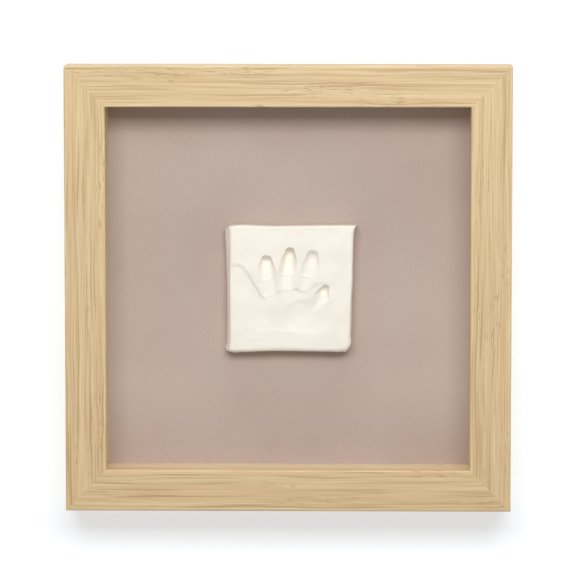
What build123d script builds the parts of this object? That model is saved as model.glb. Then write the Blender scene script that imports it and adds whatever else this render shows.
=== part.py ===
from build123d import *
import math
import os

os.makedirs("parts", exist_ok=True)

# Deep wooden display frame that holds a baby's handprint, pressed into a clay tablet.
# Millimetres. +X is to the right, the front faces -Y and +Z is up.
# The origin is the middle of the face that the frame stands on.

# Frame of mitred moulding
outer_width = 250.0
outer_height = 250.0
face_width = 23.0
lip_depth = 13.0
rabbet_width = 7.0
arris_radius = 0.8
lip_rear_radius = 0.5

# What lies behind the lip, from the front to the back
spacer_depth = 15.0
spacer_arris_radius = 0.4
mount_thickness = 2.0
back_thickness = 3.0
stack_play = 0.5

# Clay tablet and the foam pads that hold it
tablet_width = 72.0
tablet_height = 72.0
tablet_thickness = 9.5
tablet_shift_right = 1.0
tablet_shift_down = 1.5
tablet_left_lean = 3.6
tablet_edge_lean = 0.5
tablet_round = 1.4
pad_size = 14.0
pad_thickness = 1.0

# V-nails across each mitre, driven from the back
nail_thickness = 0.5
nail_leg = 4.5
nail_height = 7.0
nail_sink = 0.4
nail_slot_play = 0.02

# Turn buttons and their screws
button_thickness = 1.0
button_head_radius = 5.5
button_tip_radius = 3.8
button_reach = 15.5
button_bend = 11.0
button_bend_run = 2.5
button_lift = 1.4
button_play = 0.05
button_spacing = 124.0
screw_radius = 1.5
screw_play = 0.05
screw_bite_play = 0.01
screw_length = 12.0
screw_tip_length = 2.5
screw_head_radius = 3.0
screw_head_height = 1.9
screw_crown_share = 0.6

# D-ring hanger on the back board
ring_drop = 36.0
ring_wire_radius = 0.8
ring_width = 14.4
ring_height = 11.0
ring_bow_chords = 8
eye_play = 0.08
strap_thickness = 0.8
strap_width = 9.0
strap_length = 21.5
strap_end_radius = 3.0
ring_rest_gap = 0.3
rivet_radius = 1.4
rivet_play = 0.02
rivet_drops = (6.2, 16.4)
rivet_head_radius = 2.4
rivet_head_height = 0.8
rivet_crown_share = 0.55
rivet_tail_radius = 2.6
rivet_tail_height = 0.5

# Places worked out from the sizes above
frame_depth = lip_depth + spacer_depth + mount_thickness + back_thickness
leg_width = face_width - rabbet_width
y_front = -frame_depth / 2
y_lip = y_front + lip_depth
y_mount = y_lip + spacer_depth
y_board = y_mount + mount_thickness
y_back = frame_depth / 2
middle = Vector(0, 0, outer_height / 2)

# Each side of the frame: the way out from its middle, the way along it, how far out it reaches, its length
sides = {
    "bottom": (Vector(0, 0, -1), Vector(1, 0, 0), outer_height / 2, outer_width),
    "right": (Vector(1, 0, 0), Vector(0, 0, 1), outer_width / 2, outer_height),
    "top": (Vector(0, 0, 1), Vector(-1, 0, 0), outer_height / 2, outer_width),
    "left": (Vector(-1, 0, 0), Vector(0, 0, -1), outer_width / 2, outer_height),
}
corners = [(x, z) for x in (-1, 1) for z in (-1, 1)]

# V-nails: bent steel ribbons that straddle the mitre line at two places in each corner
nail_place_shares = (0.2, 0.62)
mitre_length = leg_width * math.sqrt(2)
nail_bend = nail_leg / math.sqrt(2)
slot_bend = (nail_leg + nail_slot_play) / math.sqrt(2)


def corner_plane(x, z, sink):
    """A plane at an outer corner of the back, with its x along the mitre and its z into the wood."""
    corner = Vector(x * outer_width / 2, y_back - sink, outer_height / 2 + z * outer_height / 2)
    return Plane(origin=corner, x_dir=(-x, 0, -z), z_dir=(0, -1, 0))


with BuildPart() as corner_v_nails:
    for x, z in corners:
        with BuildSketch(corner_plane(x, z, nail_sink)):
            for share in nail_place_shares:
                place = share * mitre_length
                with BuildLine():
                    Polyline((place + nail_bend, nail_bend), (place, 0), (place + nail_bend, -nail_bend))
                trace(line_width=nail_thickness)
        extrude(amount=nail_height)

with BuildPart() as nail_slots:
    for x, z in corners:
        with BuildSketch(corner_plane(x, z, 0)):
            for share in nail_place_shares:
                place = share * mitre_length
                with BuildLine():
                    Polyline((place + slot_bend, slot_bend), (place, 0), (place + slot_bend, -slot_bend))
                trace(line_width=nail_thickness + 2 * nail_slot_play)
        extrude(amount=nail_sink + nail_height)


def pivot_plane(side, along_share):
    """The plane of a turn button's pivot: z out of the back, x towards the middle of the frame."""
    out, along, reach = sides[side][:3]
    place = middle + out * (reach - leg_width / 2) + along * (along_share * button_spacing)
    return Plane(origin=place + Vector(0, y_back, 0), x_dir=-out, z_dir=(0, 1, 0))


# Where each turn button sits: its side, and its place along that side as a share of the spacing
button_places = {
    "turn_button_top_left": ("top", 0.5),
    "turn_button_top_right": ("top", -0.5),
    "turn_button_right_upper": ("right", 0.5),
    "turn_button_right_lower": ("right", -0.5),
    "turn_button_bottom_left": ("bottom", -0.5),
    "turn_button_bottom_right": ("bottom", 0.5),
    "turn_button_left_upper": ("left", -0.5),
    "turn_button_left_lower": ("left", 0.5),
}
screw_shoulder = 2 * button_play + button_thickness

# Rails: foil-wrapped moulding with a rabbet behind the lip, cut at 45 degrees at both ends
for side, (out, along, reach, length) in sides.items():
    with BuildPart() as rail:
        with BuildSketch(Plane(origin=middle, x_dir=out, z_dir=along)) as rail_face:
            with BuildLine():
                Polyline(
                    (reach - face_width, y_front),
                    (reach, y_front),
                    (reach, y_back),
                    (reach - leg_width, y_back),
                    (reach - leg_width, y_lip),
                    (reach - face_width, y_lip),
                    close=True,
                )
            make_face()
            fillet(rail_face.vertices().group_by(Axis.Y)[0], radius=arris_radius)
            lip_rear = rail_face.vertices().sort_by_distance((reach - face_width, y_lip))[0]
            fillet(lip_rear, radius=lip_rear_radius)
        extrude(amount=length / 2, both=True)
        for end in (along, -along):
            mitre = Plane(origin=middle + out * reach + end * (length / 2), z_dir=end - out)
            split(bisect_by=mitre, keep=Keep.BOTTOM)
        add(nail_slots.part, mode=Mode.SUBTRACT)
        for place_side, along_share in button_places.values():
            if place_side == side:
                with Locations(pivot_plane(side, along_share)):
                    Hole(radius=screw_radius + screw_bite_play, depth=screw_length)
    rail.part.label = f"{side}_rail"
    export_step(rail.part, f"parts/{side}_rail.step")

corner_v_nails.part.label = "corner_v_nails"
export_step(corner_v_nails.part, "parts/corner_v_nails.step")

# Distance strips: the top and bottom ones run full width, the side ones stand between them
sight_width = outer_width - 2 * face_width
sight_height = outer_height - 2 * face_width
stack_width = sight_width + 2 * (rabbet_width - stack_play)
stack_height = sight_height + 2 * (rabbet_width - stack_play)
spacer_width = rabbet_width - stack_play
spacer_sizes = {
    "bottom": (stack_width, outer_height / 2),
    "right": (sight_height, outer_width / 2),
    "top": (stack_width, outer_height / 2),
    "left": (sight_height, outer_width / 2),
}
for side, (length, reach) in spacer_sizes.items():
    out, along = sides[side][:2]
    with BuildPart() as spacer:
        with BuildSketch(Plane(origin=middle, x_dir=out, z_dir=along)) as strip_face:
            with Locations((reach - face_width, y_lip)):
                Rectangle(spacer_width, spacer_depth, align=(Align.MIN, Align.MIN))
            seen_arris = strip_face.vertices().sort_by_distance((reach - face_width, y_lip))[0]
            fillet(seen_arris, radius=spacer_arris_radius)
        extrude(amount=length / 2, both=True)
    spacer.part.label = f"{side}_spacer"
    export_step(spacer.part, f"parts/{side}_spacer.step")

# Mount board: plain card behind the strips
with BuildPart() as mount_board:
    with BuildSketch(Plane(origin=middle + Vector(0, y_board, 0), x_dir=(1, 0, 0), z_dir=(0, -1, 0))):
        Rectangle(stack_width, stack_height)
    extrude(amount=mount_thickness)
mount_board.part.label = "mount_board"
export_step(mount_board.part, "parts/mount_board.step")

# Clay tablet: a rolled slab, cut square by hand, with a leaning left flank and a few pulled corners
tablet_plane = Plane(
    origin=(tablet_shift_right, y_mount - pad_thickness, outer_height / 2 - tablet_shift_down),
    x_dir=(1, 0, 0),
    z_dir=(0, -1, 0),
)
half_width = tablet_width / 2
half_height = tablet_height / 2
outline_shares = (
    (-1.03, 0.90), (-0.95, 0.985), (-0.78, 1.01), (-0.30, 1.003), (0.45, 1.0), (0.90, 1.005),
    (1.02, 0.975), (0.975, 0.88), (0.965, 0.55), (0.955, 0.0), (0.945, -0.5), (0.93, -0.88),
    (0.86, -0.995), (0.66, -1.0), (0.10, -0.995), (-0.50, -1.0), (-0.90, -1.01), (-1.02, -0.96),
    (-1.035, -0.85), (-1.05, -0.4), (-1.045, 0.2), (-1.035, 0.65),
)


def tablet_outline(height, rounding):
    """The tablet's outline at a height above its back, drawn in by its leaning flanks and its round edge."""
    height_share = height / tablet_thickness
    left_inset = tablet_left_lean * height_share + rounding
    edge_inset = tablet_edge_lean * height_share + rounding
    x_scale = half_width - (left_inset + edge_inset) / 2
    z_scale = half_height - edge_inset
    x_shift = (left_inset - edge_inset) / 2
    with BuildSketch(tablet_plane.offset(height)) as outline:
        with BuildLine():
            Polyline(*[(x * x_scale + x_shift, z * z_scale) for x, z in outline_shares], close=True)
        make_face()
    return outline.sketch


# The rounded front edge: share of the rounding radius below the face, share of it drawn in
rounding_shares = ((1.0, 0.0), (0.5, 0.13), (0.13, 0.5), (0.0, 1.0))
# Fingers: base and tip as shares of the half width and half height, then the radius, the depth
# at the base and the depth at the tip as shares of the tablet's thickness
finger_shares = {
    "index": ((-0.34, -0.12), (-0.385, 0.555), 0.39, 0.24, 0.40),
    "middle": ((-0.08, -0.02), (-0.015, 0.675), 0.41, 0.26, 0.46),
    "ring": ((0.20, -0.02), (0.345, 0.60), 0.40, 0.20, 0.34),
    "thumb": ((0.26, -0.30), (0.56, 0.07), 0.36, 0.22, 0.48),
    "little": ((-0.42, -0.30), (-0.84, 0.30), 0.62, 0.16, 0.15),
}
# Half outline of a finger from its base to its tip: share of its length, share of its radius
knuckle_shares = ((0.0, 0.88), (0.42, 0.90), (0.72, 1.0), (0.92, 0.78), (1.0, 0.20))
# Palm: middle of each hollow as shares of the half sizes, then its radius and depth as such shares
palm_shares = (
    (0.0, -0.23, 0.40, 0.20),
    (-0.24, -0.46, 0.34, 0.24),
    (0.21, -0.43, 0.29, 0.26),
)

with BuildPart() as clay_tablet:
    add(tablet_outline(0, 0))
    for below_share, inset_share in rounding_shares:
        add(tablet_outline(tablet_thickness - below_share * tablet_round, inset_share * tablet_round))
    loft(ruled=True)
    for base_shares, tip_shares, radius_share, base_depth_share, tip_depth_share in finger_shares.values():
        radius = radius_share * tablet_thickness
        base_rise = tablet_thickness + radius - base_depth_share * tablet_thickness
        tip_rise = tablet_thickness + radius - tip_depth_share * tablet_thickness
        base = tablet_plane.from_local_coords(
            (base_shares[0] * half_width, base_shares[1] * half_height, base_rise)
        )
        tip = tablet_plane.from_local_coords(
            (tip_shares[0] * half_width, tip_shares[1] * half_height, tip_rise)
        )
        direction = tip - base
        with BuildSketch(Plane(origin=base, x_dir=direction, z_dir=direction.cross(Vector(0, 1, 0)))):
            with BuildLine():
                side_line = Polyline(*[(x * direction.length, y * radius) for x, y in knuckle_shares])
                Polyline(side_line @ 1, (direction.length, 0), (0, 0), side_line @ 0)
            make_face()
        revolve(axis=Axis(base, direction), mode=Mode.SUBTRACT)
    for x_share, z_share, radius_share, depth_share in palm_shares:
        dish_radius = radius_share * half_width
        dish_depth = depth_share * tablet_thickness
        ball_radius = (dish_radius**2 + dish_depth**2) / (2 * dish_depth)
        place = tablet_plane.from_local_coords(
            (x_share * half_width, z_share * half_height, tablet_thickness + ball_radius - dish_depth)
        )
        with Locations(place):
            Sphere(ball_radius, mode=Mode.SUBTRACT)
clay_tablet.part.label = "clay_tablet"
export_step(clay_tablet.part, "parts/clay_tablet.step")

# Foam pads near the tablet's corners
with BuildPart() as adhesive_pads:
    with BuildSketch(tablet_plane):
        with GridLocations(tablet_width - 2 * pad_size, tablet_height - 2 * pad_size, 2, 2):
            Rectangle(pad_size, pad_size)
    extrude(amount=-pad_thickness)
adhesive_pads.part.label = "adhesive_pads"
export_step(adhesive_pads.part, "parts/adhesive_pads.step")

# Back board: hardboard, flush with the back of the rails, drilled and counterbored for the hanger's rivets
ring_place = Vector(0, y_back, outer_height - ring_drop)
with BuildPart() as back_board:
    with BuildSketch(Plane(origin=middle + Vector(0, y_back, 0), x_dir=(1, 0, 0), z_dir=(0, -1, 0))):
        Rectangle(stack_width, stack_height)
    extrude(amount=back_thickness)
    for drop in rivet_drops:
        with Locations(Plane(origin=ring_place - Vector(0, back_thickness, drop), z_dir=(0, -1, 0))):
            CounterBoreHole(
                radius=rivet_radius + rivet_play,
                counter_bore_radius=rivet_tail_radius + rivet_play,
                counter_bore_depth=rivet_tail_height,
                depth=back_thickness,
            )
back_board.part.label = "back_board"
export_step(back_board.part, "parts/back_board.step")

# Turn buttons: stamped steel, round over the pivot, narrower at the tip, which is bent up for a thumb
with BuildPart() as turn_button:
    with BuildSketch(Plane.XZ):
        with BuildLine():
            Polyline(
                (-button_head_radius, button_play),
                (button_bend, button_play),
                (button_bend + button_bend_run, button_play + button_lift),
                (button_reach + button_tip_radius, button_play + button_lift),
                (button_reach + button_tip_radius, button_play + button_lift + button_thickness),
                (button_bend + button_bend_run, button_play + button_lift + button_thickness),
                (button_bend, button_play + button_thickness),
                (-button_head_radius, button_play + button_thickness),
                close=True,
            )
        make_face()
    extrude(amount=button_head_radius, both=True)
    with BuildSketch():
        with BuildLine():
            CenterArc((0, 0), button_head_radius, 0, 360)
            CenterArc((button_reach, 0), button_tip_radius, 0, 360)
        make_hull()
    extrude(amount=button_play + button_lift + 2 * button_thickness, mode=Mode.INTERSECT)
    with Locations((0, 0, button_play + button_thickness)):
        Hole(radius=screw_radius + screw_play, depth=2 * button_thickness)

for name, (side, along_share) in button_places.items():
    with BuildPart() as placed_button:
        with Locations(pivot_plane(side, along_share)):
            add(turn_button.part)
    placed_button.part.label = name
    export_step(placed_button.part, f"parts/{name}.step")

# Screws: low crowned head, plain shank, pointed tip
with BuildPart() as pan_screw:
    with BuildSketch(Plane.XZ):
        with BuildLine():
            Polyline(
                (0, screw_shoulder - screw_length),
                (screw_radius, screw_shoulder - screw_length + screw_tip_length),
                (screw_radius, screw_shoulder),
                (screw_head_radius, screw_shoulder),
                (screw_crown_share * screw_head_radius, screw_shoulder + screw_head_height),
                (0, screw_shoulder + screw_head_height),
                close=True,
            )
        make_face()
    revolve(axis=Axis.Z)

with BuildPart() as turn_button_screws:
    with Locations(*[pivot_plane(side, along_share) for side, along_share in button_places.values()]):
        add(pan_screw.part)
turn_button_screws.part.label = "turn_button_screws"
export_step(turn_button_screws.part, "parts/turn_button_screws.step")

# Hanger strap: a steel strip folded round the ring's straight bar, both leaves riveted to the board
eye_radius = ring_wire_radius + eye_play
eye_rise = strap_thickness + eye_radius
with BuildPart() as hanger_strap:
    with BuildSketch(Plane(origin=ring_place, x_dir=(0, 1, 0), z_dir=(1, 0, 0))):
        with Locations((eye_rise, 0)):
            Circle(eye_rise)
        with Locations((0, -strap_length)):
            Rectangle(2 * strap_thickness, strap_length, align=(Align.MIN, Align.MIN))
        with Locations((eye_rise, 0)):
            Circle(eye_radius, mode=Mode.SUBTRACT)
    extrude(amount=strap_width / 2, both=True)
    strap_ends = hanger_strap.edges().filter_by(Axis.Y).group_by(Axis.Z)[0]
    fillet(strap_ends, radius=strap_end_radius)
    for drop in rivet_drops:
        rivet_face = ring_place + Vector(0, 2 * strap_thickness, -drop)
        with Locations(Plane(origin=rivet_face, z_dir=(0, 1, 0))):
            Hole(radius=rivet_radius + rivet_play, depth=2 * strap_thickness)
hanger_strap.part.label = "hanger_strap"
export_step(hanger_strap.part, "parts/hanger_strap.step")

# Rivets: domed head on the strap, shank through strap and board, flared tail in the board's counterbore
with BuildPart() as rivet:
    with BuildSketch(Plane.XZ):
        with BuildLine():
            Polyline(
                (0, -back_thickness),
                (rivet_tail_radius, -back_thickness),
                (rivet_tail_radius, -back_thickness + rivet_tail_height),
                (rivet_radius, -back_thickness + rivet_tail_height),
                (rivet_radius, 2 * strap_thickness),
                (rivet_head_radius, 2 * strap_thickness),
                (rivet_crown_share * rivet_head_radius, 2 * strap_thickness + rivet_head_height),
                (0, 2 * strap_thickness + rivet_head_height),
                close=True,
            )
        make_face()
    revolve(axis=Axis.Z)

with BuildPart() as hanger_rivets:
    with Locations(*[Plane(origin=ring_place - Vector(0, 0, drop), z_dir=(0, 1, 0)) for drop in rivet_drops]):
        add(rivet.part)
hanger_rivets.part.label = "hanger_rivets"
export_step(hanger_rivets.part, "parts/hanger_rivets.step")

# Ring: bent wire with a straight bar in the eye, square corners and a round bow in short chords,
# hanging down over the strap at rest
ring_lift = 2 * strap_thickness + ring_wire_radius + ring_rest_gap - eye_rise
ring_lean = math.degrees(math.asin(ring_lift / ring_height))
bow_radius = ring_width / 2
bow_middle = ring_height - bow_radius
bow_turns = [math.pi * k / ring_bow_chords for k in range(ring_bow_chords + 1)]
ring_origin = ring_place + Vector(0, eye_rise, 0)
ring_down = Vector(0, 0, -1).rotate(Axis.X, ring_lean)
ring_plane = Plane(origin=ring_origin, x_dir=(1, 0, 0), z_dir=Vector(1, 0, 0).cross(ring_down))
with BuildPart() as hanger_ring:
    with BuildLine(ring_plane) as ring_line:
        Polyline(
            (-bow_radius, 0),
            (bow_radius, 0),
            *[(bow_radius * math.cos(turn), bow_middle + bow_radius * math.sin(turn)) for turn in bow_turns],
            close=True,
        )
    ring_start = ring_line.wires()[0]
    with BuildSketch(Plane(origin=ring_start @ 0, z_dir=ring_start % 0)):
        Circle(ring_wire_radius)
    sweep(path=ring_start, transition=Transition.RIGHT)
hanger_ring.part.label = "hanger_ring"
export_step(hanger_ring.part, "parts/hanger_ring.step")

print("frame depth", frame_depth, "ring axis", tuple(ring_origin), "ring lean", round(ring_lean, 3))
for name, (side, along_share) in button_places.items():
    print(name, tuple(pivot_plane(side, along_share).origin))
print("tablet front", y_mount - pad_thickness - tablet_thickness)
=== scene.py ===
import math

import bmesh
import bpy
import numpy as np
from mathutils import Matrix, Vector


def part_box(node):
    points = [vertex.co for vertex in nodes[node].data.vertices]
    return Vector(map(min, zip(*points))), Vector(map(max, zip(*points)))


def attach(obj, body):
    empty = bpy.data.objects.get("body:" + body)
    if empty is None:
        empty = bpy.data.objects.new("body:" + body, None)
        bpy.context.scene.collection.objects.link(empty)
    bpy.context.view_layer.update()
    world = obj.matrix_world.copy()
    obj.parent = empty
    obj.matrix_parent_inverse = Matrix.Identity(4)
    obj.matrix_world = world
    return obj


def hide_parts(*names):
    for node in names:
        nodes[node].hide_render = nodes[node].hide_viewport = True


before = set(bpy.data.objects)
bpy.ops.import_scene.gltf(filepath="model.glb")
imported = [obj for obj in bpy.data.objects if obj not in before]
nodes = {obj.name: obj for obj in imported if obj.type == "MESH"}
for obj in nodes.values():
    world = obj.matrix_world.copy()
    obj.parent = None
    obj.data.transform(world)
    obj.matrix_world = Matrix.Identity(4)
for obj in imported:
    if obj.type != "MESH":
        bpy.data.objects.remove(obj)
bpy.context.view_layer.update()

# Rails: four lengths of deep fibreboard moulding wrapped in oak foil, mitred at the corners.
# The foil turns the outer arris and ends a few millimetres in on the back, where raw board shows.
mm = 0.001
frame_middle_z = 0.125
oak_pale = (227, 203, 160)
oak_body = (213, 187, 142)
oak_deep = (196, 167, 122)
oak_pink = (219, 182, 142)
oak_pore = (170, 134, 90)
# Painted sheen: the pale swatch that the strips' print is mixed towards, for the whiter sheen of the inner
# walls
oak_painted_sheen = (224, 208, 176)
board_pale = (196, 168, 130)
board_dark = (158, 128, 92)
back_face_y = 16.45
foil_turn_in = 119.0
# Marks of the print along the grain: length, width, fineness, and the run of noise in which each shows
oak_marks = {
    "bands": (260, 3.2, 2.0, 0.4, 0.6),
    "streaks": (110, 1.6, 2.0, 0.4, 0.62),
    "threads": (34, 0.65, 1.0, 0.4, 0.64),
    "lines": (70, 0.9, 1.0, 0.58, 0.68),
    "dashes": (7, 0.75, 1.0, 0.57, 0.66),
    "warmth": (130, 2.6, 2.0, 0.42, 0.68),
}
band_share, streak_share, thread_share = 0.3, 0.3, 0.4
line_share, dash_share, warmth_share = 0.62, 0.6, 0.4
slow_bend, quick_bend = 4.0, 3.5
foil_relief, fibre_relief = 0.03, 3.0


def linear(colour):
    """A colour from a 0 to 255 swatch, as the linear values that shaders take."""
    shares = [c / 255 for c in colour]
    return tuple(((s + 0.055) / 1.055) ** 2.4 if s > 0.04045 else s / 12.92 for s in shares) + (1.0,)


class Finish:
    """A material in the making, with short calls for the nodes that it is mixed from."""

    def __init__(self, name, rough, metal=0.0, gloss=0.5):
        self.material = bpy.data.materials.new(name)
        self.material.use_nodes = True
        self.tree = self.material.node_tree
        self.shader = self.tree.nodes["Principled BSDF"]
        self.shader.inputs["Roughness"].default_value = rough
        self.shader.inputs["Metallic"].default_value = metal
        self.shader.inputs["Specular IOR Level"].default_value = gloss

    def node(self, kind, values=(), **choices):
        """A node whose first sockets take values: numbers, colours or another node's output."""
        made = self.tree.nodes.new("ShaderNode" + kind)
        for name, choice in choices.items():
            setattr(made, name, choice)
        for place, value in enumerate(values):
            self.feed(made.inputs[place], value)
        return made

    def feed(self, socket, value):
        """Links a socket to another node's output, or sets it; None leaves it as it is."""
        if isinstance(value, bpy.types.NodeSocket):
            self.tree.links.new(value, socket)
        elif value is not None:
            socket.default_value = value

    def sum(self, operation, *values):
        """The result of one step of arithmetic."""
        return self.node("Math", values, operation=operation).outputs[0]

    def spot(self):
        """The point on the piece in metres."""
        return self.node("TexCoord").outputs["Object"]

    def place(self):
        """The point on the piece in millimetres, as three outputs."""
        scaled = self.node("VectorMath", (self.spot(), (1000, 1000, 1000)), operation="MULTIPLY").outputs[0]
        return self.node("SeparateXYZ", (scaled,)).outputs

    def noise(self, scale, detail, coarse):
        """Even noise, with this many waves to the metre."""
        return self.node("TexNoise", (self.spot(), None, scale, detail, coarse)).outputs[0]

    def cells(self, scale):
        """Packed cells, this many to the metre: the distance from the middle of each."""
        return self.node("TexVoronoi", (self.spot(), None, scale)).outputs[0]

    def grain(self, along, across, depth, length, width, detail=2.0):
        """Noise drawn out along the grain: marks of about this length and width in millimetres."""
        spot = self.node("CombineXYZ", (
            self.sum("DIVIDE", along, length),
            self.sum("DIVIDE", across, width),
            self.sum("DIVIDE", depth, width),
        )).outputs[0]
        return self.node("TexNoise", (spot, None, 1.0, detail, 0.55)).outputs[0]

    def mix(self, share, first, second, blend="MIX"):
        """A share from 0 to 1 of the second colour laid over the first."""
        made = self.tree.nodes.new("ShaderNodeMix")
        made.data_type = "RGBA"
        made.blend_type = blend
        for name, value in (("Factor_Float", share), ("A_Color", first), ("B_Color", second)):
            self.feed(next(s for s in made.inputs if s.identifier == name), value)
        return next(s for s in made.outputs if s.identifier == "Result_Color")

    def spread(self, value, low, high, to_low=0.0, to_high=1.0):
        """Stretches a narrow run of noise values over a wider one."""
        return self.node("MapRange", (value, low, high, to_low, to_high)).outputs[0]

    def grey(self, value):
        """A colour with the same value in all three channels."""
        return self.node("CombineXYZ", (value, value, value)).outputs[0]

    def colour(self, value):
        """Sets the colour of the surface."""
        self.feed(self.shader.inputs["Base Color"], value)

    def roughness(self, value):
        """Sets how matt the surface is, where 0 is a mirror."""
        self.feed(self.shader.inputs["Roughness"], value)

    def bump(self, height, deep):
        """Raises the surface by a height from 0 to 1, where 1 stands this many millimetres high."""
        made = self.node("Bump", (1.0, deep * mm))
        self.feed(made.inputs["Height"], height)
        self.feed(self.shader.inputs["Normal"], made.outputs["Normal"])


def oak_foil(name, lengthways, shift, painted_sheen=0.0):
    """Printed oak foil on raw board. Lengthways is the axis of the grain; shift slides the print along it.
    The last share pales the print as a painted sheen.
    """
    foil = Finish(name, rough=0.44, gloss=0.5)
    x, y, z = foil.place()
    z_out = foil.sum("ABSOLUTE", foil.sum("SUBTRACT", z, frame_middle_z / mm))
    x_out = foil.sum("ABSOLUTE", x)
    along, out = (x, z_out) if lengthways == "X" else (z, x_out)
    along = foil.sum("ADD", along, shift)
    slow_wave = foil.grain(along, out, y, 95, 16)
    quick_wave = foil.grain(along, out, y, 24, 7)
    patch = foil.spread(foil.grain(along, out, y, 60, 9, 1.0), 0.5, 0.66)
    across = foil.sum("MULTIPLY_ADD", foil.sum("SUBTRACT", slow_wave, 0.5), slow_bend, out)
    lean = foil.sum("MULTIPLY", foil.sum("SUBTRACT", quick_wave, 0.5), patch)
    across = foil.sum("MULTIPLY_ADD", lean, quick_bend, across)
    shown = {}
    for kind, (length, width, detail, low, high) in oak_marks.items():
        shown[kind] = foil.spread(foil.grain(along, across, y, length, width, detail), low, high)
    tone = foil.sum("MULTIPLY", shown["bands"], band_share)
    tone = foil.sum("MULTIPLY_ADD", shown["streaks"], streak_share, tone)
    tone = foil.sum("MULTIPLY_ADD", shown["threads"], thread_share, tone)
    pale = foil.mix(foil.spread(tone, 0.0, 0.5), linear(oak_pale), linear(oak_body))
    wood = foil.mix(foil.spread(tone, 0.5, 1.0), pale, linear(oak_deep))
    wood = foil.mix(foil.sum("MULTIPLY", shown["warmth"], warmth_share), wood, linear(oak_pink))
    dashes = foil.sum("MULTIPLY", foil.sum("MULTIPLY", shown["dashes"], patch), dash_share)
    marks = foil.sum("MAXIMUM", foil.sum("MULTIPLY", shown["lines"], line_share), dashes)
    wood = foil.mix(marks, wood, linear(oak_pore))
    # Painted sheen: a share of the pale swatch laid over the print
    wood = foil.mix(painted_sheen, wood, linear(oak_painted_sheen))
    fibres = foil.noise(900.0, 4.0, 0.6)
    raw = foil.mix(foil.spread(fibres, 0.35, 0.65), linear(board_pale), linear(board_dark))
    behind = foil.sum("GREATER_THAN", y, back_face_y)
    bare = foil.sum("MULTIPLY", behind, foil.sum("LESS_THAN", out, foil_turn_in))
    foil.colour(foil.mix(bare, wood, raw))
    satin = foil.spread(shown["streaks"], 0.0, 1.0, 0.38, 0.5)
    foil.roughness(foil.sum("MULTIPLY_ADD", bare, 0.4, satin))
    relief = foil.sum("SUBTRACT", foil.sum("MULTIPLY", shown["threads"], -0.35), marks)
    rough_back = foil.sum("MULTIPLY", fibres, bare)
    foil.bump(foil.sum("MULTIPLY_ADD", rough_back, fibre_relief, relief), foil_relief)
    return foil.material


def dress(name, material):
    """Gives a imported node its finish."""
    for slot in nodes[name].material_slots:
        slot.material = material


rail_prints = {"top": ("X", 40.0), "bottom": ("X", 610.0), "left": ("Z", 1130.0), "right": ("Z", 1710.0)}
for side, (lengthways, shift) in rail_prints.items():
    dress(f"{side}_rail", oak_foil(f"oak_foil_{side}", lengthways, shift))

# V-nails: short ribbons of plain spring steel, bent to a V, two across each mitre.
# They are pressed in from the back until they lie just below it and draw the mitre shut.
nail_grey = (158, 158, 156)
dark_patch = 0.72


def bare_steel(name, swatch, rough, scratch_length, scratch_width):
    """Steel with fine drawn scratches along X and a patchy sheen."""
    steel = Finish(name, rough=rough, metal=1.0)
    x, y, z = steel.place()
    scratches = steel.grain(x, z, y, scratch_length, scratch_width, 3.0)
    patches = steel.grain(x, z, y, 6, 6, 2.0)
    darker = tuple(dark_patch * c for c in swatch)
    steel.colour(steel.mix(steel.spread(patches, 0.35, 0.7), linear(swatch), linear(darker)))
    worn = steel.sum("MULTIPLY_ADD", steel.spread(scratches, 0.3, 0.7), 0.14, rough - 0.05)
    steel.roughness(steel.sum("MULTIPLY_ADD", patches, 0.12, worn))
    steel.bump(scratches, 0.012)
    return steel.material


dress("corner_v_nails", bare_steel("nail_steel", nail_grey, 0.4, 3.0, 0.4))

# Distance strips: fibreboard slats in the same foil, paled by a painted sheen, laid in loose behind the
# rails' lip.
# They hold the mount back from the front. The top and bottom ones run full width, the side ones between.
strip_painted_sheen = 0.5
strip_prints = {"top": ("X", 350.0), "bottom": ("X", 905.0), "left": ("Z", 1425.0), "right": ("Z", 2015.0)}
for side, (lengthways, shift) in strip_prints.items():
    dress(f"{side}_spacer", oak_foil(f"strip_foil_{side}", lengthways, shift, strip_painted_sheen))

# Mount board: a sheet of taupe card, 2 mm thick, with a soft and slightly fibrous face.
# It is cut square, laid in behind the strips and held there by the back board. Painted shade darkens it
# towards its foot.
card_light = (198, 180, 171)
card_body = (192, 173, 164)
card_fleck = (178, 159, 149)
# Painted shade at the card's foot: its darkest share, the height where it is full and the height where it
# ends
card_painted_shade, card_shade_full_z, card_shade_end_z = 0.87, 34, 66
card = Finish("mount_card", rough=0.93, gloss=0.15)
cloud = card.noise(14.0, 2.0, 0.5)
fibre = card.noise(620.0, 5.0, 0.7)
fleck = card.noise(1900.0, 2.0, 0.5)
face_tone = card.mix(card.spread(cloud, 0.35, 0.65), linear(card_light), linear(card_body))
face_tone = card.mix(card.spread(fibre, 0.45, 0.75, 0.0, 0.35), face_tone, linear(card_fleck))
face_tone = card.mix(card.spread(fleck, 0.66, 0.74, 0.0, 0.4), face_tone, linear(card_light))
height = card.place()[2]
# Painted shade: the card's colour is darkened below these heights, as the shade near the bottom rail
painted_shade = card.spread(height, card_shade_full_z, card_shade_end_z, card_painted_shade, 1.0)
card.colour(card.mix(1.0, face_tone, card.grey(painted_shade), "MULTIPLY"))
card.roughness(card.spread(fibre, 0.3, 0.7, 0.88, 0.98))
card.bump(fibre, 0.05)
dress("mount_board", card.material)

# Foam pads: four squares of white closed-cell foam, 1 mm thick, with adhesive on both faces.
# They sit behind the tablet's corners and stick it to the mount board.
foam_pale = (236, 233, 226)
foam_shade = (214, 210, 202)
foam = Finish("foam_tape", rough=0.8, gloss=0.3)
bubbles = foam.cells(2600.0)
foam.colour(foam.mix(bubbles, linear(foam_pale), linear(foam_shade)))
foam.bump(bubbles, 0.06)
dress("adhesive_pads", foam.material)

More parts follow.
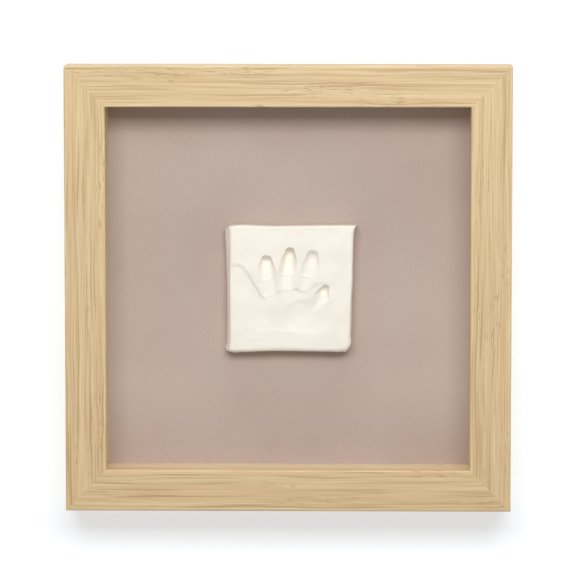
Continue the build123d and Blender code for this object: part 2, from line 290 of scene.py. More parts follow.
# Clay tablet: a rolled slab of white air-dry clay, cut square by hand and pressed with a small hand.
# It dried with a leaning left flank and a few pulled corners, and is stuck down on the pads.
# Sizes here are millimetres from the tablet's middle: x to the right, z up, depth into the clay.
tablet_x, tablet_z = 1.0, 123.5
tablet_low, tablet_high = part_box("clay_tablet")
tablet_face_y = tablet_low.y / mm
tablet_depth = (tablet_high.y - tablet_low.y) / mm
face_sides = {
    "bottom": [(-34.9, -35.2), (-33.0, -35.7), (-27.0, -35.8), (-18.9, -35.5), (-10.8, -35.2), (0.1, -35.2),
               (11.0, -35.4), (21.8, -35.5), (29.0, -35.5), (31.6, -35.1), (32.8, -33.8)],
    "right": [(32.8, -33.8), (33.5, -32.2), (33.8, -25.9), (34.1, -17.8), (34.3, -7.0), (34.9, 3.8),
              (35.1, 14.6), (35.4, 25.4), (35.6, 30.8), (36.0, 33.4), (36.9, 35.7)],
    "top": [(-34.8, 34.8), (-32.0, 35.4), (-26.0, 35.9), (-19.0, 35.6), (-10.8, 35.3), (0.1, 35.5),
            (11.0, 35.6), (21.8, 35.7), (30.0, 35.8), (34.8, 35.7), (36.9, 35.7)],
    "left": [(-34.9, -35.2), (-34.6, -31.0), (-34.5, -24.0), (-34.5, -12.0), (-34.5, 0.0), (-34.5, 12.0),
             (-34.5, 22.0), (-34.6, 30.0), (-34.8, 34.8)],
}
foot_sides = {
    "bottom": [(-36.4, -35.3), (-34.4, -36.0), (-27.0, -35.9), (-18.9, -35.6), (-10.8, -35.4), (0.1, -35.4),
               (11.0, -35.6), (21.8, -35.7), (29.0, -35.7), (31.8, -35.4), (33.2, -34.0)],
    "right": [(33.2, -34.0), (34.0, -32.0), (34.2, -25.9), (34.5, -17.8), (34.7, -7.0), (35.2, 3.8),
              (35.4, 14.6), (35.6, 25.4), (35.8, 30.8), (36.1, 33.4), (36.9, 35.8)],
    "top": [(-36.9, 33.3), (-34.6, 35.3), (-32.0, 35.7), (-26.0, 36.0), (-19.0, 35.7), (-10.8, 35.4),
            (0.1, 35.6), (11.0, 35.7), (21.8, 35.8), (30.0, 35.9), (36.9, 35.8)],
    "left": [(-36.4, -35.3), (-36.7, -34.0), (-36.2, -31.5), (-35.9, -24.0), (-35.9, -12.0), (-36.0, 0.0),
             (-36.3, 12.0), (-36.6, 22.0), (-36.9, 29.0), (-37.0, 31.6), (-36.9, 33.3)],
}
edge_rounds = {"bottom": 2.3, "right": 1.5, "top": 0.8, "left": 2.4}
clay_pale = (252, 247, 236)
clay_warm = (249, 243, 231)
# Painted light and shade: the clay's colour runs from darker at the foot to paler at the top
clay_painted_shade, clay_painted_light, clay_shade_z, clay_light_z = 0.955, 1.015, 86, 160
grid_cells = 250
edge_cells = 14
narrow_cell, wide_cell = 0.22, 0.95


def eased(value):
    """A share from 0 to 1 that starts and ends softly."""
    value = np.clip(value, 0, 1)
    return value * value * (3 - 2 * value)


def along_line(points, shares):
    """Points at these shares of a smooth line through the given ones."""
    points = np.array(points, float)
    steps = np.r_[0, np.cumsum(np.hypot(*np.diff(points, axis=0).T))]
    wanted = shares * steps[-1]
    slopes = np.gradient(points, steps, axis=0)
    i = np.clip(np.searchsorted(steps, wanted, side="right") - 1, 0, len(steps) - 2)
    h = (steps[i + 1] - steps[i])[:, None]
    t = ((wanted - steps[i]) / h[:, 0])[:, None]
    a, b = points[i], points[i + 1]
    u, v = slopes[i] * h, slopes[i + 1] * h
    return a + u * t + (3 * (b - a) - 2 * u - v) * t**2 + (2 * (a - b) + u + v) * t**3


def patch(sides, shares):
    """A grid of points spread between four side lines that share their corners."""
    low, high = along_line(sides["bottom"], shares), along_line(sides["top"], shares)
    left, right = along_line(sides["left"], shares), along_line(sides["right"], shares)
    s, t = shares[:, None, None], shares[None, :, None]
    rows = (1 - t) * low[:, None] + t * high[:, None]
    columns = (1 - s) * left[None] + s * right[None]
    corners = (1 - s) * (1 - t) * low[0] + s * (1 - t) * low[-1] + (1 - s) * t * high[0] + s * t * high[-1]
    return rows + columns - corners


def from_segments(x, z, points):
    """Distance from each place to a line through the points, and how far along it in steps."""
    best, where = np.full(x.shape, 1e9), np.zeros(x.shape)
    for step, ((ax, az), (bx, bz)) in enumerate(zip(points, points[1:])):
        run = (bx - ax) ** 2 + (bz - az) ** 2
        t = np.clip(((x - ax) * (bx - ax) + (z - az) * (bz - az)) / run, 0, 1)
        gap = np.hypot(x - ax - t * (bx - ax), z - az - t * (bz - az))
        nearer = gap < best
        best, where = np.where(nearer, gap, best), np.where(nearer, step + t, where)
    return best, where


def inside(x, z, points, soft):
    """1 well inside the outline and 0 well outside, with an edge this soft."""
    gap, _ = from_segments(x, z, points + points[:1])
    odd = np.zeros(x.shape, bool)
    for (ax, az), (bx, bz) in zip(points, points[1:] + points[:1]):
        crosses = (az > z) != (bz > z)
        if az != bz:
            odd ^= crosses & (x < (bx - ax) * (z - az) / (bz - az) + ax)
    return eased((np.where(odd, gap, -gap) + soft) / (2 * soft))


# Fingers, from base to tip: x, z, half width, softness of the edge, depth
fingers = [
    [(-10.9, -3.6, 3.9, 2.0, 0.9), (-12.2, 4.6, 3.9, 2.1, 1.7), (-13.0, 9.5, 3.3, 1.8, 2.6),
     (-13.4, 12.8, 2.8, 1.5, 3.6), (-13.5, 16.2, 2.2, 0.9, 5.2)],
    [(-2.2, -0.4, 3.9, 2.0, 0.9), (-1.8, 8.0, 3.7, 2.1, 2.0), (-1.0, 13.0, 3.2, 1.7, 3.1),
     (-0.6, 17.0, 2.7, 1.4, 4.4), (-0.2, 21.4, 1.6, 0.8, 7.6)],
    [(8.0, 0.0, 3.2, 2.0, 0.6), (9.4, 7.0, 3.4, 2.1, 1.2), (11.0, 12.0, 3.1, 1.8, 1.8),
     (12.0, 15.6, 2.7, 1.5, 2.4), (12.7, 19.3, 1.9, 1.1, 3.1)],
    [(10.5, -13.5, 3.6, 3.5, 1.1), (15.0, -8.5, 2.6, 3.6, 1.9), (17.7, -4.0, 1.9, 2.6, 3.0),
     (20.0, 1.0, 0.9, 0.9, 8.0)],
]
# How far in from each tip the pad of the finger reaches its full depth
pad_lengths = [6.0, 6.4, 6.4, 8.0]
palm_depth, palm_edge, palm_fade = 0.9, 1.25, 13.0
thenar_depth, thenar_edge = 0.45, 2.0
joining = 7.0
# Where the fingers, the palm and the left digit meet the clay at the top: a crisp edge
crisp_edge = [
    (-33.0, 13.2), (-31.3, 13.8), (-29.4, 13.8), (-27.2, 12.8), (-25.1, 10.0), (-22.9, 6.8), (-20.8, 3.2),
    (-18.6, 0.0), (-17.0, -2.7), (-15.6, -4.6), (-12.7, -4.1), (-10.5, -3.3), (-8.3, -2.0), (-5.6, -0.8),
    (-2.9, -0.2), (-0.2, 0.3), (2.7, 0.5), (4.6, -0.2), (6.5, -0.9), (8.4, -1.2), (10.3, 0.0),
    (12.2, 1.5), (14.3, 3.2), (30.0, 3.2), (30.0, -40.0), (-42.0, -40.0), (-42.0, 13.2),
]
palm_reach = [
    (-30.0, 20.0), (-33.5, 8.0), (-33.0, -4.0), (-30.0, -12.0), (-25.0, -19.0), (-19.0, -22.8), (-9.0, -24.0),
    (1.0, -24.3), (9.0, -24.3), (15.0, -22.8), (19.5, -17.0), (21.0, -9.0), (18.0, -3.0), (14.5, 4.5),
    (12.0, 20.0),
]
thenar = [(-2.1, -11.7), (-1.1, -10.1), (0.3, -8.9), (1.9, -7.8), (3.8, -7.1), (5.7, -6.8), (7.9, -7.1),
          (15.0, -6.6), (23.0, -8.0), (24.0, -19.5), (14.0, -25.2), (4.0, -24.6), (-1.0, -20.0)]
# Raised lines that the creases of the skin left: height, width, points
creases = [
    (0.18, 0.5, [(-17.4, 4.7), (-13.6, 5.0), (-10.2, 5.9), (-8.8, 6.3)]),
    (0.18, 0.5, [(-5.8, 8.2), (-1.8, 7.9), (2.4, 8.5)]),
    (0.15, 0.60, [(6.3, 7.5), (9.6, 7.0), (12.3, 6.6)]),
    (0.09, 1.2, [(-20.0, -24.2), (-9.0, -23.6), (2.0, -24.6), (14.0, -24.4)]),
    (0.10, 1.3, [(-21.6, -27.3), (-14.0, -28.8), (-5.3, -30.6)]),
    (0.12, 1.3, [(-17.0, -31.2), (-7.0, -32.2), (4.0, -31.8)]),
]
# Broad swells and hollows: x, z, spread in x, spread in z, depth
swells = [
    (-6.5, -20.0, 7.0, 6.0, 0.22), (-24.0, 3.0, 5.0, 8.0, 0.35), (-4.0, -10.5, 9.0, 3.5, -0.18),
    (-20.0, -12.0, 7.0, 7.0, 0.15), (10.0, -13.5, 8.0, 6.5, 0.40), (27.0, 10.0, 9.0, 18.0, 0.12),
    (-24.0, 26.0, 14.0, 6.0, -0.10), (6.0, 30.0, 20.0, 4.0, 0.08),
]
# Slow waves that the rolling left: direction, length, height
waves = [(0.4, 23, 0.07), (1.5, 17, 0.06), (2.3, 11, 0.035), (0.9, 6, 0.015)]
wave_offset = 1.7


def pressed_depth(x, z):
    """How deep the hand went in at each place of the tablet's face."""
    palm = inside(x, z, crisp_edge, palm_edge) * palm_depth + inside(x, z, thenar, thenar_edge) * thenar_depth
    depths = [palm * inside(x, z, palm_reach, palm_fade)]
    for stations, pad_length in zip(fingers, pad_lengths):
        gap, where = from_segments(x, z, [s[:2] for s in stations])
        last = len(stations) - 1
        width, soft, deep = (np.interp(where, range(last + 1), [s[k] for s in stations]) for k in (2, 3, 4))
        share = np.clip((width + soft - gap) / (2 * soft), 0, 1)
        ball = (where / last) ** 2
        (tip_x, tip_z, *rim, _), (next_x, next_z, *_) = stations[-1], stations[-2]
        run = math.hypot(next_x - tip_x, next_z - tip_z)
        from_rim = ((x - tip_x) * (next_x - tip_x) + (z - tip_z) * (next_z - tip_z)) / run + sum(rim)
        pad = np.clip(from_rim / pad_length, 0, 1)
        across = eased(share) * (1 - ball) + np.sqrt(share * (2 - share)) * ball
        depths.append(deep * pad * (2 - pad) * across)
    joined = np.log(sum(np.exp(joining * d) for d in depths) - len(depths) + 1) / joining
    for mx, mz, wide, high, deep in swells:
        joined += deep * np.exp(-(((x - mx) / wide) ** 2) - ((z - mz) / high) ** 2)
    for high, wide, points in creases:
        gap, _ = from_segments(x, z, points)
        joined -= high * np.exp(-((gap / wide) ** 2))
    for k, (turn, length, tall) in enumerate(waves):
        way = x * math.cos(turn) + z * math.sin(turn)
        joined += tall * np.sin(way * 2 * math.pi / length + k * wave_offset)
    return joined


cell_sizes = np.ones(grid_cells)
cell_sizes[:edge_cells] = np.linspace(narrow_cell, wide_cell, edge_cells)
cell_sizes[-edge_cells:] = np.linspace(wide_cell, narrow_cell, edge_cells)
shares = np.r_[0, np.cumsum(cell_sizes)] / cell_sizes.sum()
face = patch(face_sides, shares)
foot = patch(foot_sides, shares)
face_x, face_z = face[..., 0], face[..., 1]
depth = pressed_depth(face_x, face_z)
side_gaps = {side: from_segments(face_x, face_z, points)[0] for side, points in face_sides.items()}
drops = []
for side, radius in edge_rounds.items():
    drawn_in = np.clip(radius - side_gaps[side], 0, radius)
    drops.append(radius - np.sqrt(radius**2 - drawn_in**2))
edge_drop = np.sqrt(sum(drop**2 for drop in drops))
plain_rim, deepest_drop = 2.5, 2.6
fade_in = eased(np.minimum.reduce(list(side_gaps.values())) / plain_rim)
depth = depth * fade_in + np.minimum(edge_drop, deepest_drop)

count = grid_cells + 1
rim_places = [(i, 0) for i in range(count)] + [(grid_cells, j) for j in range(1, count)]
rim_places += [(i, grid_cells) for i in range(grid_cells - 1, -1, -1)]
rim_places += [(0, j) for j in range(grid_cells - 1, 0, -1)]
flank_rows, flank_swell, flank_wave = 9, 0.16, 37.0
clay_mesh = bmesh.new()


def band(mesh, low, high):
    """Faces between two closed loops of as many points."""
    for k in range(len(low)):
        n = (k + 1) % len(low)
        mesh.faces.new((low[k], low[n], high[n], high[k]))


def clay_point(x, z, deep):
    """A point of the tablet, this deep below the plane of its face."""
    place = ((tablet_x + x) * mm, (tablet_face_y + deep) * mm, (tablet_z + z) * mm)
    return clay_mesh.verts.new(place)


top = [[clay_point(*face[i, j], depth[i, j]) for j in range(count)] for i in range(count)]
for i in range(grid_cells):
    for j in range(grid_cells):
        clay_mesh.faces.new((top[i][j], top[i + 1][j], top[i + 1][j + 1], top[i][j + 1]))
upper = [top[i][j] for i, j in rim_places]
for row in range(1, flank_rows + 1):
    share = row / flank_rows
    lower = []
    for k, (i, j) in enumerate(rim_places):
        x, z = face[i, j] + (foot[i, j] - face[i, j]) * share * (2 - share)
        swell = flank_swell * math.sin(math.pi * share) * (1 + math.sin(k / flank_wave) * 0.6)
        reach = math.hypot(x, z)
        deep = depth[i, j] + (tablet_depth - depth[i, j]) * share
        lower.append(clay_point(x * (1 + swell / reach), z * (1 + swell / reach), deep))
    band(clay_mesh, upper, lower)
    upper = lower
clay_mesh.faces.new(upper)
bmesh.ops.recalc_face_normals(clay_mesh, faces=clay_mesh.faces)
for face_of_clay in clay_mesh.faces:
    face_of_clay.smooth = True


def piece_from(name, mesh, material):
    """A scene piece from a bmesh, in its finish."""
    data = bpy.data.meshes.new(name)
    mesh.to_mesh(data)
    mesh.free()
    data.materials.append(material)
    made = bpy.data.objects.new(name, data)
    bpy.context.collection.objects.link(made)
    return made


clay = Finish("white_clay", rough=0.78, gloss=0.3)
drift = clay.noise(60.0, 3.0, 0.5)
skin = clay.noise(1500.0, 4.0, 0.6)
knocks = clay.noise(420.0, 3.0, 0.5)
chalk = clay.mix(clay.spread(drift, 0.35, 0.65), linear(clay_pale), linear(clay_warm))
height = clay.place()[2]
# Painted light and shade: paler towards the top of the tablet, darker towards its foot
painted_light_and_shade = clay.spread(height, clay_shade_z, clay_light_z, clay_painted_shade, clay_painted_light)
clay.colour(clay.mix(1.0, chalk, clay.grey(painted_light_and_shade), "MULTIPLY"))
clay.roughness(clay.spread(knocks, 0.3, 0.7, 0.7, 0.86))
clay.bump(clay.sum("MULTIPLY_ADD", knocks, 1.6, skin), 0.035)
tablet = piece_from("clay_handprint", clay_mesh, clay.material)
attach(tablet, "frame")
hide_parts("clay_tablet")

# Back board: a sheet of 3 mm hardboard, pressed wood pulp with a smooth face that looks outwards.
# It drops in behind the mount board, flush with the back of the rails, and the turn buttons hold it.
pulp_pale = (158, 118, 80)
pulp_brown = (126, 90, 58)
pulp_cloud = (140, 99, 62)
chip_dark = (96, 66, 42)
hardboard = Finish("hardboard", rough=0.62, gloss=0.35)
pulp = hardboard.noise(700.0, 5.0, 0.7)
chips = hardboard.cells(900.0)
cloud = hardboard.noise(18.0, 3.0, 0.55)
brown = hardboard.mix(hardboard.spread(pulp, 0.35, 0.68), linear(pulp_pale), linear(pulp_brown))
brown = hardboard.mix(hardboard.spread(cloud, 0.4, 0.7, 0.0, 0.35), brown, linear(pulp_cloud))
brown = hardboard.mix(hardboard.spread(chips, 0.1, 0.3, 0.35, 0.0), brown, linear(chip_dark))
hardboard.colour(brown)
hardboard.roughness(hardboard.spread(pulp, 0.3, 0.7, 0.52, 0.74))
hardboard.bump(pulp, 0.05)
dress("back_board", hardboard.material)

# Turn buttons: eight stamped steel tongues on the back, zinc plated, each turning on its screw.
# Round over the pivot and narrower at the tip, which is bent up so that a thumb gets under it.
button_head, button_tip, button_reach = 5.5, 3.8, 15.5
button_bend, button_bend_run, button_lift = 11.0, 2.5, 1.4
button_thickness, button_rise, button_hole, button_round = 1.0, 0.05, 1.55, 0.16
button_rays, button_rings = 96, 12
zinc_grey = (184, 187, 188)
zinc = bare_steel("zinc_plate", zinc_grey, 0.38, 4.0, 0.3)
button_pivots = {
    "turn_button_top_left": (-62, 242, "down"), "turn_button_top_right": (62, 242, "down"),
    "turn_button_right_upper": (117, 187, "left"), "turn_button_right_lower": (117, 63, "left"),
    "turn_button_bottom_left": (-62, 8, "up"), "turn_button_bottom_right": (62, 8, "up"),
    "turn_button_left_upper": (-117, 187, "right"), "turn_button_left_lower": (-117, 63, "right"),
}
inward = {
    "down": Vector((0, 0, -1)), "up": Vector((0, 0, 1)),
    "left": Vector((-1, 0, 0)), "right": Vector((1, 0, 0)),
}
wood_back_y = 16.5


def button_edge(angle):
    """How far the outline lies from the pivot in this direction: two arcs and their tangents."""
    lean = math.asin((button_head - button_tip) / button_reach)
    away = abs((angle + math.pi) % (2 * math.pi) - math.pi)
    if away > math.pi / 2 - lean:
        return button_head
    touch = math.atan2(button_tip * math.cos(lean), button_reach + button_tip * math.sin(lean))
    if away >= touch:
        return button_head / math.cos(away - (math.pi / 2 - lean))
    side = button_reach * math.sin(away)
    return button_reach * math.cos(away) + math.sqrt(button_tip**2 - side**2)


def on_pivot(made, x, z, direction):
    """Stands a piece that was made lying at the origin on the back of the frame, its +X pointing inwards."""
    ahead = inward[direction]
    outward = Vector((0, 1, 0))
    turn = Matrix((ahead, outward.cross(ahead), outward)).transposed().to_4x4()
    made.matrix_world = Matrix.Translation(Vector((x, wood_back_y, z)) * mm) @ turn


def soften(made, radius, segments):
    """Rounds the hard edges of a piece and shades the rest smooth."""
    for face_of_piece in made.data.polygons:
        face_of_piece.use_smooth = True
    edge = made.modifiers.new("worn_edges", "BEVEL")
    edge.width = radius * mm
    edge.segments = segments
    edge.limit_method = "ANGLE"
    edge.angle_limit = math.radians(40)
    edge.harden_normals = False


def button_loop(mesh, share, height):
    """A closed loop of points, from the pivot hole at share 0 to the outline at share 1."""
    loop = []
    for ray in range(button_rays):
        angle = 2 * math.pi * ray / button_rays
        out = button_hole + (button_edge(angle) - button_hole) * share
        x, y = out * math.cos(angle), out * math.sin(angle)
        rise = button_rise + button_lift * eased((x - button_bend) / button_bend_run)
        loop.append(mesh.verts.new((x * mm, y * mm, (rise + height) * mm)))
    return loop


def stamped_button(name):
    """A tongue of sheet steel, lying at the origin with its tip towards +X."""
    mesh = bmesh.new()
    sheets = []
    for height in (0, button_thickness):
        sheets.append([button_loop(mesh, step / button_rings, height) for step in range(button_rings + 1)])
    for loops in sheets:
        for inner, outer in zip(loops, loops[1:]):
            band(mesh, inner, outer)
    for place in (0, -1):
        band(mesh, sheets[0][place], sheets[1][place])
    bmesh.ops.recalc_face_normals(mesh, faces=mesh.faces)
    made = piece_from(name, mesh, zinc)
    soften(made, button_round, 3)
    return made


for name, (x, z, direction) in button_pivots.items():
    tongue = stamped_button(name.replace("turn_button", "tongue"))
    on_pivot(tongue, x, z, direction)
    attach(tongue, name)
    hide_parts(name)

# Screws: eight pan-head wood screws of bright zinc-plated steel, with a cross recess and a rolled thread.
# Each goes through a turn button into the rail, and is left loose enough for the button to turn.
screw_shoulder = 1.1
screw_length, screw_radius, screw_root = 12.0, 1.48, 1.12
screw_pitch, screw_tip, screw_point = 1.3, 2.6, 0.12
head_radius, head_height, head_edge = 3.0, 1.9, 0.45
screw_rays, thread_rows, crown_steps, screw_round = 48, 64, 8, 0.07
# Ends of the recess: height over the head's seat, reach of an arm, half its width
recess_ends = ((2.3, 2.05, 0.42), (-0.35, 0.55, 0.30))
bright_grey = (192, 193, 192)
bright_zinc = bare_steel("screw_zinc", bright_grey, 0.32, 1.2, 0.2)


def turned(mesh, outline, rays):
    """Turns an outline of radius and height about Z, closed where the radius is nil."""
    loops = []
    for radius, height in outline:
        if radius == 0:
            loops.append([mesh.verts.new((0, 0, height * mm))])
            continue
        loops.append([
            mesh.verts.new((radius * math.cos(a) * mm, radius * math.sin(a) * mm, height * mm))
            for a in np.linspace(0, 2 * math.pi, rays, endpoint=False)
        ])
    for low, high in zip(loops, loops[1:]):
        for k in range(rays):
            n = (k + 1) % rays
            corners = [low[k % len(low)], low[n % len(low)], high[n % len(high)], high[k % len(high)]]
            mesh.faces.new(list(dict.fromkeys(corners)))
    bmesh.ops.recalc_face_normals(mesh, faces=mesh.faces)


def recess_bar(turned_by):
    """One arm of the tapered cross that the driver bit leaves."""
    mesh = bmesh.new()
    turn = Matrix.Rotation(turned_by, 2)
    ends = []
    for height, reach, half in recess_ends:
        corners = [(-reach, -half), (reach, -half), (reach, half), (-reach, half)]
        level = (height + screw_shoulder) * mm
        ends.append([mesh.verts.new((*(turn @ Vector(c) * mm), level)) for c in corners])
    low, high = ends
    mesh.faces.new(low)
    mesh.faces.new(high[::-1])
    band(mesh, low, high)
    bmesh.ops.recalc_face_normals(mesh, faces=mesh.faces)
    return piece_from("recess_bar", mesh, bright_zinc)


def pan_screw():
    """A screw that stands at the origin, point down, as one turned outline with its thread in rings."""
    mesh = bmesh.new()
    head = [(screw_root, 0), (head_radius, 0)]
    for step in range(crown_steps):
        lean = math.pi / 2 * step / crown_steps
        head.append((head_radius * math.cos(lean), head_edge + (head_height - head_edge) * math.sin(lean)))
    head.append((0, head_height))
    shank = []
    for step in range(thread_rows):
        rise = (screw_length - screw_shoulder) * step / thread_rows
        crest = 0.5 + 0.5 * math.cos(2 * math.pi * rise / screw_pitch)
        taper = screw_point + (1 - screw_point) * min(rise / screw_tip, 1)
        radius = (screw_root + (screw_radius - screw_root) * crest) * taper
        shank.append((radius, rise - screw_length + screw_shoulder))
    outline = [(0, shank[0][1])] + shank + head
    turned(mesh, [(r, h + screw_shoulder) for r, h in outline], screw_rays)
    return piece_from("pan_screw", mesh, bright_zinc)


screw = pan_screw()
bars = [recess_bar(0), recess_bar(math.pi / 2)]
for bar in bars:
    cut = screw.modifiers.new("cross_recess", "BOOLEAN")
    cut.operation = "DIFFERENCE"
    cut.object = bar
soften(screw, screw_round, 2)
bpy.context.view_layer.update()
ready = bpy.data.meshes.new_from_object(screw.evaluated_get(bpy.context.evaluated_depsgraph_get()))
ready.name = "pan_screw"
for used in (screw, *bars):
    bpy.data.objects.remove(used)
for name, (x, z, direction) in button_pivots.items():
    driven = bpy.data.objects.new(name.replace("turn_button", "screw"), ready)
    bpy.context.collection.objects.link(driven)
    on_pivot(driven, x, z, direction)
    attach(driven, "frame")
    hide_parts("turn_button_screws")

# Hanger strap: a strip of nickel-plated steel, folded double round the ring's bar.
# Both leaves lie on the back board, one on the other, and two rivets hold them.
nickel_grey = (186, 182, 172)
nickel = bare_steel("nickel_plate", nickel_grey, 0.32, 3.0, 0.3)
strap_place = Vector((0, wood_back_y, 214.0))
strap_half_width, strap_thickness, strap_length, strap_end = 4.5, 0.8, 21.5, 3.0
strap_columns, strap_round = 16, 0.12
eye_radius, eye_turn, eye_steps = 0.88, 225, 24
leaf_steps, neck_run = 6, 2.2


def strap_line():
    """The strip's middle line, as height off the board and distance up it: in, round the bar and back."""
    bend = eye_radius + strap_thickness / 2
    middle = eye_radius + strap_thickness
    line = [(strap_thickness / 2, -strap_length * (1 - k / leaf_steps)) for k in range(leaf_steps)]
    for k in range(eye_steps + 1):
        turn = math.radians(180 - eye_turn * k / eye_steps)
        line.append((middle + bend * math.cos(turn), bend * math.sin(turn)))
    neck = line[-1]
    outer = 1.5 * strap_thickness
    for k in range(1, leaf_steps + 1):
        share = k / leaf_steps
        line.append((neck[0] + (outer - neck[0]) * eased(share), neck[1] - neck_run * share))
    start = line[-1][1]
    for k in range(1, leaf_steps + 1):
        line.append((outer, start - (strap_length + start) * k / leaf_steps))
    return line


def strap_face(mesh, line, side):
    """One face of the strip, as rows of points across it, with the corners of its ends rounded off."""
    rows = []
    for place, (out, up) in enumerate(line):
        before, after = line[max(place - 1, 0)], line[min(place + 1, len(line) - 1)]
        run = Vector((after[0] - before[0], after[1] - before[1])).normalized()
        edge = Vector((-run.y, run.x)) * side * strap_thickness / 2
        row = []
        for k in range(strap_columns + 1):
            across = strap_half_width * (2 * k / strap_columns - 1)
            short = max(abs(across) - (strap_half_width - strap_end), 0)
            rounding = strap_end - math.sqrt(strap_end**2 - short**2)
            height = max(up, -strap_length + rounding)
            spot = strap_place + Vector((across, out + edge.x, height + edge.y))
            row.append(mesh.verts.new(spot * mm))
        rows.append(row)
    return rows


def folded_strap():
    """The strip round the bar, with both leaves and all its edges."""
    mesh = bmesh.new()
    line = strap_line()
    near, far = strap_face(mesh, line, -1), strap_face(mesh, line, 1)
    for rows in (near, far):
        for low, high in zip(rows, rows[1:]):
            for k in range(strap_columns):
                mesh.faces.new((low[k], low[k + 1], high[k + 1], high[k]))
    last, width = len(line) - 1, strap_columns
    rim = [(r, 0) for r in range(last + 1)] + [(last, c) for c in range(1, width + 1)]
    rim += [(r, width) for r in range(last - 1, -1, -1)] + [(0, c) for c in range(width - 1, 0, -1)]
    band(mesh, [near[r][c] for r, c in rim], [far[r][c] for r, c in rim])
    bmesh.ops.recalc_face_normals(mesh, faces=mesh.faces)
    made = piece_from("folded_strap", mesh, nickel)
    soften(made, strap_round, 2)
    return made


strap = folded_strap()
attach(strap, "frame")
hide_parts("hanger_strap")

# Rivets: two nickel-plated steel rivets through the strap and the back board.
# Each has a domed head on the strap and a flared tail, set in a counterbore on the board's inner face.
rivet_drops = {"upper": 6.2, "lower": 16.4}
rivet_rays, rivet_round, dome_points = 40, 0.05, 8
head_reach, head_seat, dome_height, head_top = 2.4, 1.62, 0.78, 2.4
# From the tail up: radius, and height over the board's outer face
rivet_outline = [(0, -3.0), (2.5, -3.0), (2.6, -2.9), (2.6, -2.55), (2.5, -2.5), (1.4, -2.5), (1.4, 1.6)]
for lean in np.linspace(0, math.pi / 2, dome_points)[:-1]:
    rivet_outline.append((head_reach * math.cos(lean), head_seat + dome_height * math.sin(lean)))
rivet_outline.append((0, head_top))
for place, drop in rivet_drops.items():
    mesh = bmesh.new()
    turned(mesh, rivet_outline, rivet_rays)
    rivet = piece_from(f"rivet_{place}", mesh, nickel)
    soften(rivet, rivet_round, 2)
    lying = Matrix.Rotation(-math.pi / 2, 4, "X")
    rivet.matrix_world = Matrix.Translation((strap_place - Vector((0, 0, drop))) * mm) @ lying
    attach(rivet, "frame")
    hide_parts("hanger_rivets")

# Hanger ring: a D of nickel-plated steel wire, bent round with its ends butted in the straight bar.
# The bar turns in the fold of the strap, and at rest the bow hangs down and leans on it.
ring_width, ring_height, ring_corner = 14.4, 11.0, 1.8
wire_radius, wire_rays = 0.8, 20
bar_points, corner_points, bow_points = 4, 7, 15
ring_lean = math.radians(5.321)
ring_axis = strap_place + Vector((0, strap_thickness + eye_radius, 0))


def ring_line():
    """The wire's middle line: straight bar at the top, rounded corners, half-round bow below."""
    half, bend = ring_width / 2, ring_corner
    line = [(-k * (half - bend) / bar_points, 0.0) for k in range(bar_points)]
    for a in np.linspace(0, math.pi / 2, corner_points):
        line.append((-half + bend - bend * math.sin(a), bend - bend * math.cos(a)))
    for a in np.linspace(0, math.pi / 2, bow_points):
        line.append((-half * math.cos(a), ring_height - half + half * math.sin(a)))
    return line + [(-x, down) for x, down in line[-2:0:-1]]


def wire_ring():
    """The wire swept round its line, hanging as it does at rest."""
    mesh = bmesh.new()
    down = Vector((0, math.sin(ring_lean), -math.cos(ring_lean)))
    line = [Vector((x, 0, 0)) + down * drop for x, drop in ring_line()]
    normal = Vector((1, 0, 0)).cross(down).normalized()
    loops = []
    for k, spot in enumerate(line):
        run = (line[(k + 1) % len(line)] - line[k - 1]).normalized()
        side = run.cross(normal)
        loop = []
        for a in np.linspace(0, 2 * math.pi, wire_rays, endpoint=False):
            out = (side * math.cos(a) + normal * math.sin(a)) * wire_radius
            loop.append(mesh.verts.new((ring_axis + spot + out) * mm))
        loops.append(loop)
    for low, high in zip(loops, loops[1:] + loops[:1]):
        band(mesh, low, high)
    bmesh.ops.recalc_face_normals(mesh, faces=mesh.faces)
    for face_of_ring in mesh.faces:
        face_of_ring.smooth = True
    return piece_from("wire_ring", mesh, nickel)


ring_piece = wire_ring()
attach(ring_piece, "hanger_ring")
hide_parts("hanger_ring")

# Wall: a painted board of pale, matt white just behind the hanger, 0.8 m square.
# It shows only from the front, so that the back can be seen and lit too.
wall_y, wall_half = 20.3 * mm, 0.4
wall_glow, wall_white = 0.52, 0.63
wall_mesh = bmesh.new()
for x, z in ((-1, -1), (1, -1), (1, 1), (-1, 1)):
    wall_mesh.verts.new((x * wall_half, wall_y, frame_middle_z + z * wall_half))
wall_mesh.faces.new(wall_mesh.verts[:])
paint = Finish("wall_paint", rough=1.0)
paint.tree.nodes.clear()
coat = paint.node("BsdfDiffuse", ((0.97 * wall_white, wall_white, 1.04 * wall_white, 1),)).outputs[0]
glow = paint.node("Emission", ((0.99, 1, 1.01, 1), wall_glow)).outputs[0]
painted = paint.node("AddShader", (coat, glow)).outputs[0]
seen = paint.node("LightPath").outputs["Is Camera Ray"]
behind = paint.node("NewGeometry").outputs["Backfacing"]
shown = paint.node("Math", (seen, behind), operation="SUBTRACT", use_clamp=True).outputs[0]
clear = paint.node("BsdfTransparent").outputs[0]
surface = paint.node("MixShader", (shown, clear, painted)).outputs[0]
paint.node("OutputMaterial", (surface,))
wall = piece_from("pale_wall", wall_mesh, paint.material)

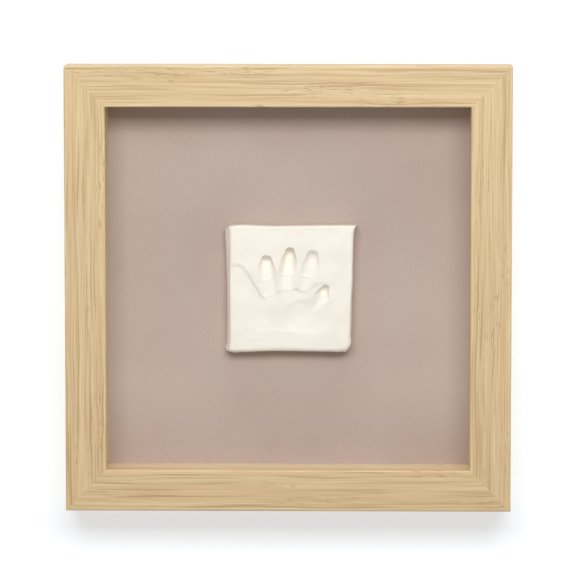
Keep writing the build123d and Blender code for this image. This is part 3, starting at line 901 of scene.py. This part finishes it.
# Lighting: a white room, two soft boxes above and in front of the frame and one overhead.
# Three more stand behind the wall for the back and the sides, low, so that the top does not mirror them.
sky = bpy.data.worlds.new("studio_air")
bpy.context.scene.world = sky
sky.use_nodes = True
air = sky.node_tree
fill_light = 0.33
paths = air.nodes.new("ShaderNodeLightPath").outputs
strength = paths["Is Camera Ray"]
for way in ("Is Glossy Ray", "Is Transmission Ray"):
    either = air.nodes.new("ShaderNodeMath")
    either.operation = "MAXIMUM"
    air.links.new(strength, either.inputs[0])
    air.links.new(paths[way], either.inputs[1])
    strength = either.outputs[0]
level = air.nodes.new("ShaderNodeMapRange")
level.inputs["To Min"].default_value = fill_light
level.inputs["To Max"].default_value = 1.0
air.links.new(strength, level.inputs["Value"])
air.nodes["Background"].inputs["Color"].default_value = (1, 1, 1, 1)
air.links.new(level.outputs[0], air.nodes["Background"].inputs["Strength"])


def towards(azimuth, elevation):
    """The direction that these angles in degrees give, from the front of the frame."""
    a, e = math.radians(azimuth), math.radians(elevation)
    return Vector((math.sin(a) * math.cos(e), -math.cos(a) * math.cos(e), math.sin(e)))


def stand(name, data, target, direction, distance):
    """Puts a lamp or camera this far out from a target, and turns it to look at it."""
    made = bpy.data.objects.new(name, data)
    bpy.context.collection.objects.link(made)
    made.location = target + direction * distance
    made.rotation_mode = "QUATERNION"
    made.rotation_quaternion = (-direction).to_track_quat("-Z", "Y")
    return made


# Soft boxes: azimuth, elevation, width, height, power
soft_boxes = {
    "key_box": (2, 26, 1.4, 0.45, 14.1),
    "upper_box": (2, 38, 1.4, 0.45, 2.8),
    "ceiling_box": (2, 80, 1.4, 0.5, 9.6),
    "rear_box": (190, -14, 2.4, 0.7, 14.0),
    "left_box": (240, -14, 0.8, 0.6, 6.0),
    "right_box": (120, -14, 0.8, 0.6, 6.0),
}
box_distance = 1.5
for name, (azimuth, elevation, width, height, power) in soft_boxes.items():
    lamp = bpy.data.lights.new(name, "AREA")
    lamp.shape = "RECTANGLE"
    lamp.size, lamp.size_y = width, height
    lamp.energy = power
    stand(name, lamp, Vector((0, 0, frame_middle_z)), towards(azimuth, elevation), box_distance)

# Camera: a long lens a little above the frame and a touch to its right, as the photograph was taken.
# Its picture holds the whole frame with a white margin on all sides.
camera_azimuth, camera_elevation, camera_distance, camera_lens = 1.1, 5.6, 2.2, 246.5
camera_aim = Vector((-0.00024, -0.0165, 0.1263))
eye = bpy.data.cameras.new("studio_camera")
eye.lens = camera_lens
eye.sensor_width = 36
eye.clip_start, eye.clip_end = 0.05, 20
view = towards(camera_azimuth, camera_elevation)
bpy.context.scene.camera = stand("studio_camera", eye, camera_aim, view, camera_distance)
bpy.context.scene.view_settings.view_transform = "Standard"
